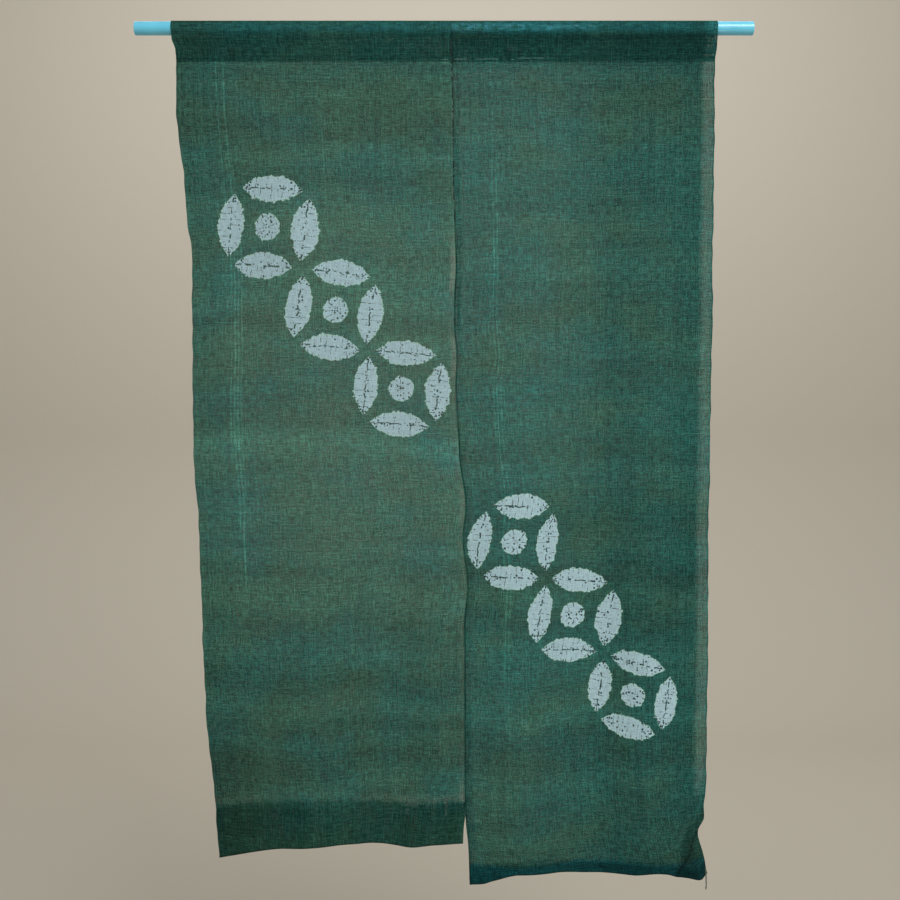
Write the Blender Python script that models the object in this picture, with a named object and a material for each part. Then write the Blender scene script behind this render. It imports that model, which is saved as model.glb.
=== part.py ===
"""Noren: a doorway curtain of two sheer hemp panels, hanging from its rod.

Metres, +Z up. The origin is on the rod's axis, halfway along it. The front faces -Y, so from the front
+X is to the right. Each panel is one closed sheet. From its foot it rises to the stitch line, passes over
the rod as a pocket, and comes down behind to the stitch line, where it is sewn to its own back.

A panel is shaped level by level. Its two edges stand where the tables put them, and the cloth between
them is wider than the gap it hangs in, so the spare width goes into soft upright folds.
"""
import math

import bmesh
import bpy
import numpy as np
from mathutils import Matrix

MM = 0.001

# Driving sizes
ROD_RADIUS = 11.0 * MM
ROD_LENGTH = 1000.0 * MM
ROD_END_BEVEL = 1.0 * MM
ROD_SIDES = 48
LAYER = 1.2 * MM                # one layer of cloth
DOUBLED = 2.2 * MM              # two layers pressed together
CLEARANCE = 0.3 * MM            # between the rod's top and the cloth that lies on it
POCKET_SLACK = 0.5 * MM         # how much wider the pocket's round top is, as a radius
SEAM_GAP = 0.8 * MM             # between the two panels where they are sewn edge to edge
STITCH_LINE = 53.0 * MM         # below the rod's axis
STITCH_HALF = 1.0 * MM          # half the height over which the pocket's edge is sewn down
TURNED_EDGE = 11.0 * MM         # the strip turned back along the right panel's inner edge
TURNED_FROM = 80.0 * MM         # the drop at which that strip begins
PANEL_WIDTH = 430.0 * MM
STEP = 1.5 * MM                 # width over which one layer becomes two

# How finely the sheets are built
COLUMNS = 18
BODY_ROWS = 30
HEM_ROWS = 2
POCKET_ROWS = 3                 # on each side, between the stitch line and the rod
ROD_ROWS = 14                   # around the rod
LEVEL_STEP = 5.0                # mm between the levels that are worked out
SECTION_STEPS = 200             # steps across the cloth at each level
SEARCH_STEPS = 40
STEEPEST = 60.0                 # upper bound of the search, as a multiple of the tables' folds

# The seam, and below it the slit: drop below the rod's axis, x of the left panel's edge, opening to the
# right panel's edge, how far the left edge hangs behind the rod's axis, and the right edge before the left
SLIT = (
    # drop, left edge, opening, behind, before
    (0, 10.5, 0.0, 0.0, 0.0),
    (53, 11.6, 0.0, 0.0, 0.0),
    (115, 13.5, 0.0, 2.0, 0.0),
    (180, 14.3, 0.0, 5.0, 0.0),
    (245, 14.7, 0.0, 8.0, 0.0),
    (310, 17.0, 0.0, 10.0, 0.0),
    (383, 10.5, 8.5, 12.0, 2.0),
    (430, 12.5, 4.0, 13.0, 3.0),
    (480, 14.2, 2.0, 13.0, 3.0),
    (530, 12.1, 8.0, 13.0, 4.0),
    (590, 18.0, 0.5, 13.0, 5.0),
    (690, 24.3, 0.0, 13.0, 5.0),
    (770, 28.2, 6.2, 13.0, 4.0),
    (825, 30.0, 0.0, 13.0, 4.0),
    (905, 30.7, 7.2, 13.0, 4.0),
    (965, 33.0, 0.0, 13.0, 5.0),
    (1150, 33.4, 0.0, 14.0, 5.0),
    (1245, 33.3, 0.0, 15.0, 4.0),
    (1290, 32.5, 3.0, 16.0, 3.0),
    (1330, 31.0, 8.5, 16.0, 3.0),
    (1390, 30.5, 11.0, 16.0, 3.0),
)

# Each panel's outer edge, and the spare width that its folds take up
LEFT_EDGE = (
    # drop, edge, spare width
    (0, -440.0, 0.0),
    (20, -439.0, 0.0),
    (34, -434.0, 0.0),
    (53, -433.5, 0.0),
    (115, -434.0, 1.0),
    (180, -429.5, 4.0),
    (245, -422.0, 8.0),
    (310, -417.0, 12.0),
    (375, -410.0, 16.0),
    (475, -410.0, 17.0),
    (590, -409.0, 15.0),
    (690, -407.5, 14.0),
    (790, -400.5, 15.0),
    (925, -395.0, 17.0),
    (1055, -390.5, 20.0),
    (1150, -384.5, 24.0),
    (1250, -373.5, 31.0),
    (1350, -366.5, 38.0),
)
RIGHT_EDGE = (
    (0, 441.0, 0.0),
    (32, 440.5, 0.0),
    (53, 438.5, 0.0),
    (115, 438.5, 1.0),
    (180, 439.0, 3.0),
    (245, 439.0, 5.0),
    (310, 438.5, 8.0),
    (375, 437.5, 10.0),
    (475, 437.5, 12.0),
    (590, 434.0, 15.0),
    (690, 433.5, 18.0),
    (790, 431.0, 21.0),
    (925, 430.0, 22.0),
    (1055, 429.5, 22.0),
    (1150, 428.0, 24.0),
    (1250, 426.0, 27.0),
    (1300, 419.0, 31.0),
    (1345, 427.0, 31.0),
    (1390, 438.0, 30.0),
)

# The soft upright folds: where a fold runs at the rod and at the foot and its half width, as shares of the
# panel's width from its left edge, how far it stands forward, and the drops between which it grows in
LEFT_FOLDS = (
    # at rod, at foot, half width, forward, from, to
    (0.12, 0.10, 0.10, 5.0, 200, 900),
    (0.44, 0.39, 0.22, 34.0, 50, 400),
    (0.70, 0.68, 0.12, -9.0, 50, 500),
    (0.90, 0.87, 0.10, 9.0, 300, 900),
)
RIGHT_FOLDS = (
    (0.22, 0.21, 0.17, 24.0, 50, 500),
    (0.55, 0.50, 0.14, -12.0, 50, 500),
    (0.80, 0.77, 0.13, 14.0, 50, 700),
    (1.02, 1.02, 0.09, -24.0, 1210, 1330),
)

# Level creases left from folding: drop at the panel's left and right edge, half height, forward
LEFT_CREASES = (
    # at left, at right, half height, forward
    (666, 660, 34.0, 2.5),
    (1042, 1036, 30.0, -3.0),
    (1118, 1104, 22.0, 3.0),
    (1170, 1150, 26.0, -3.5),
)
RIGHT_CREASES = (
    (700, 690, 30.0, -3.0),
    (985, 940, 26.0, 3.0),
    (1185, 1180, 30.0, -3.0),
)

# The foot of each panel: share of the width from its left edge, drop of the foot, height of the hem
LEFT_FOOT = (
    # share, drop, hem
    (0.00, 1347, 88),
    (0.15, 1331, 84),
    (0.30, 1318, 80),
    (0.47, 1313, 76),
    (0.60, 1320, 75),
    (0.78, 1330, 74),
    (0.89, 1323, 73),
    (1.00, 1324, 72),
)
RIGHT_FOOT = (
    (0.00, 1390, 35),
    (0.05, 1387, 33),
    (0.10, 1379, 30),
    (0.20, 1367, 24),
    (0.35, 1369, 23),
    (0.50, 1376, 23),
    (0.66, 1375, 24),
    (0.77, 1369, 22),
    (0.88, 1379, 23),
    (0.96, 1389, 25),
    (1.00, 1382, 25),
)
FOOT_BLEND = 3                  # the power with which the rows above take on the foot's unevenness

CLOTH_COLOUR = (0.060, 0.128, 0.098, 1.0)
ROD_COLOUR = (0.46, 0.66, 0.72, 1.0)


def curve(table, column, at):
    """Read one column of a table as a smooth curve that never overshoots its rows."""
    rows = np.array(table, float)
    x, y = rows[:, 0], rows[:, column]
    width = np.diff(x)
    slope = np.diff(y) / width
    product = slope[:-1] * slope[1:]
    total = np.where(product > 0, slope[:-1] + slope[1:], 1.0)
    inner = np.where(product > 0, 2 * product / total, 0.0)
    tangent = np.concatenate((slope[:1], inner, slope[-1:]))
    at = np.clip(at, x[0], x[-1])
    i = np.clip(np.searchsorted(x, at) - 1, 0, len(width) - 1)
    t = (at - x[i]) / width[i]
    ends = y[i] * (1 + 2 * t) * (1 - t) ** 2 + y[i + 1] * t ** 2 * (3 - 2 * t)
    return ends + width[i] * (tangent[i] * t * (1 - t) ** 2 + tangent[i + 1] * t ** 2 * (t - 1))


def ramp(low, high, at):
    """Rise smoothly from 0 at low to 1 at high."""
    t = np.clip((at - low) / (high - low), 0.0, 1.0)
    return t * t * (3 - 2 * t)


def fold_slope(folds, drop, share, lowest):
    """How steeply the folds come forward at one level, in millimetres for the whole width."""
    slope = np.zeros_like(share)
    for at_rod, at_foot, half_width, forward, begins, ends in folds:
        centre = at_rod + (at_foot - at_rod) * drop / lowest
        offset = (share - centre) / half_width
        height = forward * ramp(begins, ends, drop)
        slope -= height * 2 * offset / half_width * np.exp(-offset ** 2)
    return slope


def section(left, right, spare, slope):
    """One level of a panel: x, and how far forward, at even steps along the cloth.

    The folds are deepened until the cloth, spare width and all, just fits between its two edges.
    """
    cloth = right - left + spare
    heading = slope / cloth
    low, high = 0.0, STEEPEST
    for _ in range(SEARCH_STEPS):
        depth = (low + high) / 2
        if np.cos(depth * heading).mean() * cloth > right - left:
            low = depth
        else:
            high = depth
    if spare <= 0:
        low = 0.0
    across = np.concatenate(([0.0], np.cumsum(np.cos(low * heading))))
    forward = np.concatenate(([0.0], np.cumsum(np.sin(low * heading))))
    return left + (right - left) * across / across[-1], forward * cloth / SECTION_STEPS


def left_level(drop, folds, lowest, share):
    inner, behind = curve(SLIT, 1, drop), curve(SLIT, 3, drop)
    outer, spare = curve(LEFT_EDGE, 1, drop), curve(LEFT_EDGE, 2, drop)
    x, forward = section(outer, inner, spare, fold_slope(folds, drop, share, lowest))
    return x, behind + forward[-1] - forward


def right_level(drop, folds, lowest, share):
    inner = curve(SLIT, 1, drop) + SEAM_GAP / MM + curve(SLIT, 2, drop)
    behind = curve(SLIT, 3, drop) - curve(SLIT, 4, drop)
    outer, spare = curve(RIGHT_EDGE, 1, drop), curve(RIGHT_EDGE, 2, drop)
    x, forward = section(inner, outer, spare, fold_slope(folds, drop, share, lowest))
    return x, behind - forward


def hang(level, folds, creases, foot, shares, drops):
    """World x and y, in metres, of the sheet's middle at each share of the width and each drop below."""
    lowest = max(row[1] for row in foot)
    levels = np.arange(0.0, lowest + LEVEL_STEP, LEVEL_STEP)
    steps = np.linspace(0.0, 1.0, SECTION_STEPS + 1)
    middles = (steps[1:] + steps[:-1]) / 2
    sections = [level(drop, folds, lowest, middles) for drop in levels]
    x, y = np.empty_like(drops), np.empty_like(drops)
    for column, share in enumerate(shares):
        x_down = [np.interp(share, steps, across) for across, _ in sections]
        y_down = [np.interp(share, steps, behind) for _, behind in sections]
        x[:, column] = np.interp(drops[:, column], levels, x_down)
        y[:, column] = np.interp(drops[:, column], levels, y_down)
    for at_left, at_right, half_height, forward in creases:
        offset = (drops - at_left - (at_right - at_left) * shares) / half_height
        y -= forward * np.exp(-offset ** 2)
    return x * MM, y * MM


def body_drops(foot, shares):
    """Drops in millimetres of the rows from the stitch line to the foot, and which rows are doubled.

    The rows start level and take on the foot's unevenness as they near it.
    """
    top = (STITCH_LINE + STITCH_HALF) / MM
    step = STEP / MM / 2
    lowest = curve(foot, 1, shares)
    hem_top = lowest - curve(foot, 2, shares)
    above = np.linspace(0.0, 1.0, BODY_ROWS + 1)[:, None]
    level = hem_top.mean() - step
    upper = top + above * (level - top) + above ** FOOT_BLEND * (hem_top - step - level)
    within = np.linspace(0.0, 1.0, HEM_ROWS + 1)[:, None]
    lower = hem_top + step + within * (lowest - hem_top - step)
    doubled = np.array([False] * (BODY_ROWS + 1) + [True] * (HEM_ROWS + 1))
    return np.vstack((upper, lower)), doubled


def pocket_line():
    """Depth and height of the pocket's middle line, from the stitch line up, over the rod and down.

    The cloth leaves the round top where a straight line from the stitches just touches it.
    """
    radius = ROD_RADIUS + CLEARANCE + POCKET_SLACK + LAYER / 2
    leave = math.acos(radius / (STITCH_LINE - POCKET_SLACK))
    turns = [leave + (2 * math.pi - 2 * leave) * i / ROD_ROWS for i in range(ROD_ROWS + 1)]
    around = [(-radius * math.sin(a), -POCKET_SLACK - radius * math.cos(a)) for a in turns]
    upper_stitch = -STITCH_LINE + STITCH_HALF
    rise = [i / POCKET_ROWS for i in range(POCKET_ROWS)]
    front = [(around[0][0] * t, upper_stitch + (around[0][1] - upper_stitch) * t) for t in rise]
    back = [(LAYER + (around[-1][0] - LAYER) * t, upper_stitch + (around[-1][1] - upper_stitch) * t)
            for t in reversed(rise[1:])]
    return front + around + back


def sheet_middle(level, folds, creases, foot, shares):
    """Rows of points of the sheet's middle from the foot up and over the rod, and the doubled rows."""
    drops, doubled = body_drops(foot, shares)
    x, y = hang(level, folds, creases, foot, shares, drops)
    body = np.dstack((x, y, -drops * MM))[::-1]
    line = pocket_line()
    heights = np.array([height for _, height in line])
    pocket_drops = np.repeat(np.maximum(-heights, 0.0)[:, None] / MM, len(shares), axis=1)
    x, _ = hang(level, folds, (), foot, shares, pocket_drops)
    depths = np.array([depth for depth, _ in line])
    across = np.ones_like(x)
    pocket = np.dstack((x, depths[:, None] * across, heights[:, None] * across))
    return np.concatenate((body, pocket)), np.concatenate((doubled[::-1], [False] * len(line)))


def sheet_faces(middle, thickness):
    """The front and back faces of the sheet: the front lies half a layer before the middle."""
    along = np.gradient(middle, axis=1)
    up = np.gradient(middle, axis=0)
    forward = np.cross(along, up)
    forward /= np.linalg.norm(forward, axis=2, keepdims=True)
    return middle + forward * LAYER / 2, middle - forward * (thickness[:, :, None] - LAYER / 2)


def panel_mesh(name, middle, thickness, stitch_row):
    """Close the sheet: its pocket's loose end is welded to the back of the front layer."""
    front, back = sheet_faces(middle, thickness)
    bm = bmesh.new()
    outer = [[bm.verts.new(point) for point in row] for row in front]
    inner = [[bm.verts.new(point) for point in row] for row in back]
    outer.append(inner[stitch_row])
    inner.append(inner[stitch_row + 1])
    last = len(middle[0]) - 1
    for r in range(len(outer) - 1):
        for c in range(last):
            bm.faces.new((outer[r][c], outer[r][c + 1], outer[r + 1][c + 1], outer[r + 1][c]))
            if r != stitch_row:
                bm.faces.new((inner[r][c], inner[r + 1][c], inner[r + 1][c + 1], inner[r][c + 1]))
        for c in (0, last):
            bm.faces.new((outer[r][c], inner[r][c], inner[r + 1][c], outer[r + 1][c]))
    for c in range(last):
        bm.faces.new((outer[0][c], inner[0][c], inner[0][c + 1], outer[0][c + 1]))
    bmesh.ops.recalc_face_normals(bm, faces=bm.faces)
    mesh = bpy.data.meshes.new(name)
    bm.to_mesh(mesh)
    bm.free()
    return mesh


def add_object(name, mesh, material):
    mesh.shade_smooth()
    mesh.set_sharp_from_angle(angle=math.radians(40))
    mesh.materials.append(material)
    piece = bpy.data.objects.new(name, mesh)
    bpy.context.collection.objects.link(piece)
    return piece


def add_material(name, colour, roughness):
    material = bpy.data.materials.new(name)
    material.use_nodes = True
    shader = material.node_tree.nodes["Principled BSDF"]
    shader.inputs["Base Color"].default_value = colour
    shader.inputs["Roughness"].default_value = roughness
    return material


def add_panel(name, level, folds, creases, foot, turned, material):
    shares = list(np.linspace(0.0, 1.0, COLUMNS + 1))
    if turned:
        edge = [(turned - STEP / 2) / PANEL_WIDTH, (turned + STEP / 2) / PANEL_WIDTH]
        shares = shares[:1] + edge + shares[1:]
    shares = np.array(shares)
    middle, doubled = sheet_middle(level, folds, creases, foot, shares)
    strip = (shares[None, :] * PANEL_WIDTH < turned) & (middle[:, :, 2] < -TURNED_FROM)
    thickness = np.where(doubled[:, None] | strip, DOUBLED, LAYER)
    stitch_row = BODY_ROWS + HEM_ROWS + 1
    return add_object(name, panel_mesh(name, middle, thickness, stitch_row), material)


def add_rod(material):
    bm = bmesh.new()
    bmesh.ops.create_cone(bm, cap_ends=True, segments=ROD_SIDES, radius1=ROD_RADIUS, radius2=ROD_RADIUS,
                          depth=ROD_LENGTH, matrix=Matrix.Rotation(math.pi / 2, 4, "Y"))
    mesh = bpy.data.meshes.new("rod")
    bm.to_mesh(mesh)
    bm.free()
    rod = add_object("rod", mesh, material)
    bevel = rod.modifiers.new("rounded ends", "BEVEL")
    bevel.width = ROD_END_BEVEL
    bevel.segments = 2
    bevel.limit_method = "ANGLE"
    bevel.angle_limit = math.radians(60)
    return rod


for old in list(bpy.data.objects):
    bpy.data.objects.remove(old)

cloth = add_material("sheer hemp", CLOTH_COLOUR, 0.9)
add_panel("left_panel", left_level, LEFT_FOLDS, LEFT_CREASES, LEFT_FOOT, 0.0, cloth)
add_panel("right_panel", right_level, RIGHT_FOLDS, RIGHT_CREASES, RIGHT_FOOT, TURNED_EDGE, cloth)
add_rod(add_material("painted tube", ROD_COLOUR, 0.3))
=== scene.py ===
# %% [markdown]
# A noren: a doorway curtain of two panels
#
# The real curtain is two lengths of sheer hand-woven hemp. Each is turned over at the top into a pocket
# for the rod, hemmed at the foot, and sewn to the other from the rod to about 310 mm below it. The motifs
# are the old linked-circle pattern, sewn tight before dyeing so that the dye can't reach them. This
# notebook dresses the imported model: two thin sheets of cloth take the place of its solid panels, stitches
# are laid on them, and the rod gets its paint.

# %% Load the frame
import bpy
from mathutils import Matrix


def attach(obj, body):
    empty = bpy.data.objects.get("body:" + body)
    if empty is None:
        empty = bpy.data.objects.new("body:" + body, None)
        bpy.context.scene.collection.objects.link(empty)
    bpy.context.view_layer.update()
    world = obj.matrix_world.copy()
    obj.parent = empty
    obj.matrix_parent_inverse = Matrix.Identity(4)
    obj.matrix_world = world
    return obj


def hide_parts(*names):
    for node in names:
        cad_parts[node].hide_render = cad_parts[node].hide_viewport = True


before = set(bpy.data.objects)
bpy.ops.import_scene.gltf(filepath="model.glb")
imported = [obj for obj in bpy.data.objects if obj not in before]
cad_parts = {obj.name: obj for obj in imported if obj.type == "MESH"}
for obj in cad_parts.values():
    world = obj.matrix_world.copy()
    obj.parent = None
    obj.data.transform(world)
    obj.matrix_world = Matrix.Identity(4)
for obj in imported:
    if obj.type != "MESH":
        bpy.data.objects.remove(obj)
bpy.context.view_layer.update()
print("nodes:", sorted(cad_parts))

# %% Tools and units
import math

import bmesh
import bpy
import numpy as np
from mathutils import Vector, noise

MM = 0.001
print("one millimetre is", MM, "m")

# %% [markdown]
# The driving sizes
#
# These repeat the sizes that the solids were made from, so that the thin cloth lies where the solid panels
# lie. Drops are measured down from the rod's axis, and depths from that axis towards the back.

# %% Sizes of the rod, the pocket and the turned edges
ROD_RADIUS = 11.0
ROD_CLEARANCE = 0.3
POCKET_SLACK = 0.5
SOLID_LAYER = 1.2               # the solids' sheet, whose middle the cloth follows
STITCH_LINE = 53.0              # where the pocket's edge is sewn down
POCKET_TAIL = 1.0               # cloth of the pocket below that line
LAYER_GAP = 0.5                 # between two layers of cloth that lie on each other
HEM_GAP = 1.4                   # between the front and the back layer of a hem
HEM_ROUND = 2.5                 # height over which the foot's fold opens to that gap
TURNED_EDGE = 11.0              # the strip turned back along the right panel's inner edge
SEAM_GAP = 0.1                  # the thin sheets meet closer than the solids
OVERLAP = 2.5                   # how far the left selvedge lies behind the right edge, below the seam
# The drops over which the selvedge slips behind, and over which it comes out again
OVERLAP_BEGINS, OVERLAP_ENDS = (311, 345), (1255, 1300)
print("the pocket is", STITCH_LINE, "mm from the rod's axis to its stitches")

# %% [markdown]
# The hanging shape
#
# Two panels that are sewn together only at the top never hang flat. The tables give, from the rod down,
# where each edge hangs and how much wider the cloth is than the space between its edges. The spare width
# goes into soft upright folds. It could be left to a cloth simulation, but a sheer panel that has hung for
# years holds its own folds and creases, so these are listed from rod to foot.

# %% Edges of the panels
SLIT = (
    # drop, left edge, opening, behind, before
    (0, 10.5, 0, 0, 0),
    (53, 11.6, 0, 0, 0),
    (115, 13.5, 0, 2, 0),
    (180, 14.3, 0, 5, 0),
    (245, 14.7, 0, 8, 0),
    (310, 17, 0, 10, 0),
    (383, 10.5, 8.5, 12, 2),
    (430, 12.5, 4, 13, 3),
    (480, 14.2, 2, 13, 3),
    (530, 12.1, 8, 13, 4),
    (590, 18, 0.5, 13, 5),
    (690, 24.3, 0, 13, 5),
    (770, 28.2, 6.2, 13, 4),
    (825, 30, 0, 13, 4),
    (905, 30.7, 7.2, 13, 4),
    (965, 33, 0, 13, 5),
    (1150, 33.4, 0, 14, 5),
    (1245, 33.3, 0, 15, 4),
    (1290, 32.5, 3, 16, 3),
    (1330, 31, 8.5, 16, 3),
    (1390, 30.5, 11, 16, 3),
)
LEFT_EDGE = (
    # drop, edge, spare width
    (0, -440, 0),
    (20, -439, 0),
    (34, -434, 0),
    (53, -433.5, 0),
    (115, -434, 1),
    (180, -429.5, 4),
    (245, -422, 8),
    (310, -417, 12),
    (375, -410, 16),
    (475, -410, 17),
    (590, -409, 15),
    (690, -407.5, 14),
    (790, -400.5, 15),
    (925, -395, 17),
    (1055, -390.5, 20),
    (1150, -384.5, 24),
    (1250, -373.5, 31),
    (1350, -366.5, 38),
)
RIGHT_EDGE = (
    # drop, edge, spare width
    (0, 441, 0),
    (32, 440.5, 0),
    (53, 438.5, 0),
    (115, 438.5, 1),
    (180, 439, 3),
    (245, 439, 5),
    (310, 438.5, 8),
    (375, 437.5, 10),
    (475, 437.5, 12),
    (590, 434, 15),
    (690, 433.5, 18),
    (790, 431, 21),
    (925, 430, 22),
    (1055, 429.5, 22),
    (1150, 428, 24),
    (1250, 428, 27),
    (1288, 428, 29),
    (1295, 426, 29.5),
    (1311, 418, 31),
    (1345, 427, 31),
    (1390, 438, 30),
)
print(len(SLIT), "levels along the slit")

# %% Folds, creases and feet
# The two steep folds of the right panel's lower corner: where each meets the outer edge, and how far it falls
# over the panel's whole width
PINCH, CREASE_FALL = 1311.0, 370.0
UPPER_FOLD, UPPER_FALL = 1268.0, 580.0
LEFT_FOLDS = (
    # at rod, at foot, half width (shares of the panel), forward, from, to
    (0.12, 0.10, 0.10, 5, 200, 900),
    (0.44, 0.39, 0.22, 34, 50, 400),
    (0.70, 0.68, 0.12, -9, 50, 500),
    (0.90, 0.87, 0.10, 9, 300, 900),
)
RIGHT_FOLDS = (
    (0.22, 0.21, 0.17, 24, 50, 500),
    (0.55, 0.50, 0.14, -12, 50, 500),
    (0.80, 0.77, 0.13, 14, 50, 700),
    (1.02, 1.02, 0.09, -24, 1210, 1330),
)
LEFT_CREASES = (
    # drop at left, at right, half height, forward, from and to share of the width
    (666, 660, 34, 2.5, -1, 2),
    (1042, 1036, 30, -3, -1, 2),
    (1118, 1104, 22, 3, -1, 2),
    (1170, 1150, 26, -3.5, -1, 2),
    (480, 470, 7, -1.4, -0.2, 0.35),
    (512, 508, 9, 1.2, 0.3, 1.2),
    (604, 596, 8, -1.2, 0.1, 0.8),
    (742, 752, 10, 1.4, -0.2, 0.6),
    (820, 806, 9, -1.4, 0.3, 1.2),
    (905, 912, 10, 1.4, -0.2, 0.7),
    (982, 968, 8, -1.4, 0.2, 1.2),
    (1068, 1062, 8, 1.7, -0.2, 0.9),
    (1096, 1080, 7, -1.8, -0.2, 1.2),
    (1142, 1122, 7, -1.7, -0.2, 0.8),
    (1200, 1186, 8, 1.8, 0.1, 1.2),
    (1226, 1214, 8, -1.5, -0.2, 0.9),
)
RIGHT_CREASES = (
    (700, 690, 30, -3, -1, 2),
    (985, 940, 26, 3, -1, 2),
    (1185, 1180, 30, -3, -1, 2),
    (402, 392, 7, 1, -0.2, 0.7),
    (498, 506, 9, -1.2, 0.2, 1.2),
    (596, 588, 8, 1.2, -0.2, 0.8),
    (680, 668, 8, -1.5, -0.2, 0.9),
    (764, 770, 8, 1.4, 0.1, 1.2),
    (846, 838, 9, -1.2, -0.2, 0.7),
    (956, 930, 8, -1.5, -0.2, 1.2),
    (1010, 972, 8, 1.5, -0.2, 0.6),
    (1082, 1074, 9, -1.2, 0.2, 1.2),
    (1156, 1150, 8, 1.5, -0.2, 0.8),
    (1196, 1202, 8, -1.5, 0.1, 1.2),
    (1290, 1282, 9, 1.2, -0.2, 0.8),
    # the corner's two steep folds, which meet at the pinch in the outer edge
    (PINCH + CREASE_FALL, PINCH, 9, 5, 0.60, 2),
    (UPPER_FOLD + UPPER_FALL, UPPER_FOLD, 16, -4, 0.70, 2),
)
LEFT_FOOT = (
    # share, drop, hem
    (0.00, 1347, 88),
    (0.15, 1331, 84),
    (0.30, 1318, 80),
    (0.47, 1313, 76),
    (0.60, 1320, 75),
    (0.78, 1330, 74),
    (0.89, 1323, 73),
    (1.00, 1324, 72),
)
RIGHT_FOOT = (
    (0.00, 1390, 35),
    (0.05, 1387, 33),
    (0.10, 1379, 30),
    (0.20, 1367, 24),
    (0.35, 1369, 23),
    (0.50, 1376, 23),
    (0.66, 1375, 24),
    (0.77, 1369, 22),
    (0.88, 1379, 23),
    (0.96, 1389, 25),
    (1.00, 1382, 25),
)
print("creases:", len(LEFT_CREASES), "and", len(RIGHT_CREASES))

# %% [markdown]
# Reading the tables
#
# A table row is a place where the edge or fold was looked at. Between rows the value runs along a smooth
# curve that never overshoots, so an edge has no bumps that the table doesn't give. At each level the folds
# are deepened until the cloth, with its spare width, just fits between its edges.

# %% Curves, ramps and sections
SECTION_STEPS = 200
SEARCH_STEPS = 40
STEEPEST = 60.0
LEVEL_STEP = 5.0


def curve(table, column, at):
    """Read one column of a table as a smooth curve that never overshoots its rows."""
    rows = np.array(table, float)
    x, y = rows[:, 0], rows[:, column]
    width = np.diff(x)
    slope = np.diff(y) / width
    product = slope[:-1] * slope[1:]
    total = np.where(product > 0, slope[:-1] + slope[1:], 1.0)
    inner = np.where(product > 0, 2 * product / total, 0.0)
    tangent = np.concatenate((slope[:1], inner, slope[-1:]))
    at = np.clip(at, x[0], x[-1])
    i = np.clip(np.searchsorted(x, at) - 1, 0, len(width) - 1)
    t = (at - x[i]) / width[i]
    ends = y[i] * (1 + 2 * t) * (1 - t) ** 2 + y[i + 1] * t ** 2 * (3 - 2 * t)
    return ends + width[i] * (tangent[i] * t * (1 - t) ** 2 + tangent[i + 1] * t ** 2 * (t - 1))


def ramp(low, high, at):
    """Rise smoothly from 0 at low to 1 at high."""
    t = np.clip((at - low) / (high - low), 0.0, 1.0)
    return t * t * (3 - 2 * t)


def fold_slope(folds, drop, share, lowest):
    """How steeply the folds come forward at one level."""
    slope = np.zeros_like(share)
    for at_rod, at_foot, half_width, forward, begins, ends in folds:
        centre = at_rod + (at_foot - at_rod) * drop / lowest
        offset = (share - centre) / half_width
        height = forward * ramp(begins, ends, drop)
        slope -= height * 2 * offset / half_width * np.exp(-offset ** 2)
    return slope


def section(left, right, spare, slope):
    """One level of a panel: x, and how far forward, at even steps along the cloth."""
    cloth = right - left + spare
    heading = slope / cloth
    low, high = 0.0, STEEPEST
    for _ in range(SEARCH_STEPS):
        depth = (low + high) / 2
        if np.cos(depth * heading).mean() * cloth > right - left:
            low = depth
        else:
            high = depth
    if spare <= 0:
        low = 0.0
    across = np.concatenate(([0.0], np.cumsum(np.cos(low * heading))))
    forward = np.concatenate(([0.0], np.cumsum(np.sin(low * heading))))
    return left + (right - left) * across / across[-1], forward * cloth / SECTION_STEPS


def left_level(drop, folds, lowest, share):
    """One level of the left panel, whose inner selvedge slips behind the right panel below the seam."""
    inner, behind = curve(SLIT, 1, drop), curve(SLIT, 3, drop)
    tucked = ramp(*OVERLAP_BEGINS, drop) * (1 - ramp(*OVERLAP_ENDS, drop))
    inner = inner + tucked * (OVERLAP + curve(SLIT, 2, drop))
    outer, spare = curve(LEFT_EDGE, 1, drop), curve(LEFT_EDGE, 2, drop)
    x, forward = section(outer, inner, spare, fold_slope(folds, drop, share, lowest))
    return x, behind + forward[-1] - forward


def right_level(drop, folds, lowest, share):
    """One level of the right panel, which starts at the slit."""
    inner = curve(SLIT, 1, drop) + SEAM_GAP + curve(SLIT, 2, drop)
    behind = curve(SLIT, 3, drop) - curve(SLIT, 4, drop)
    outer, spare = curve(RIGHT_EDGE, 1, drop), curve(RIGHT_EDGE, 2, drop)
    x, forward = section(inner, outer, spare, fold_slope(folds, drop, share, lowest))
    return x, behind - forward


half_way = float(curve(SLIT, 1, 600) - curve(LEFT_EDGE, 1, 600))
print("the left panel is", round(half_way), "mm wide half way down")

# %% [markdown]
# Small unevenness
#
# Hemp is stiff and springy. It keeps little dents from handling, a firm selvedge waves where the weft pulls
# it in, and the cloth puckers along a row of stitches. These could be bump in the material, but they show
# at the edges and in side views, so they are moves of the sheet's own points. The dents come from smooth
# noise at fixed places, so every run gives the same cloth.

# %% Dents, waves and puckers
DENT_SIZES = (
    # width, height, depth
    (120.0, 60.0, 1.1),
    (45.0, 18.0, 0.45),
    (18.0, 9.0, 0.16),
)
SELVEDGE_WAVES = (
    # length, sideways
    (61.0, 0.35),
    (37.0, 0.30),
    (143.0, 0.45),
)
SELVEDGE_REACH = 34.0           # how far into the cloth a selvedge's waves reach
PUCKER_LENGTH = 13.0
PUCKER_DEPTH = 0.45
PUCKER_REACH = 11.0
PUCKER_WANDER, WANDER_LENGTH = 2.3, 31.0


def dents(across, drop, seed):
    """Depth of the dents, in millimetres, at each point of the cloth."""
    depth = np.zeros_like(across)
    for width, height, deep in DENT_SIZES:
        points = zip((across / width).ravel(), (drop / height).ravel())
        field = [noise.noise(Vector((x, y, seed))) for x, y in points]
        depth += deep * np.array(field).reshape(across.shape)
    return depth


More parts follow.
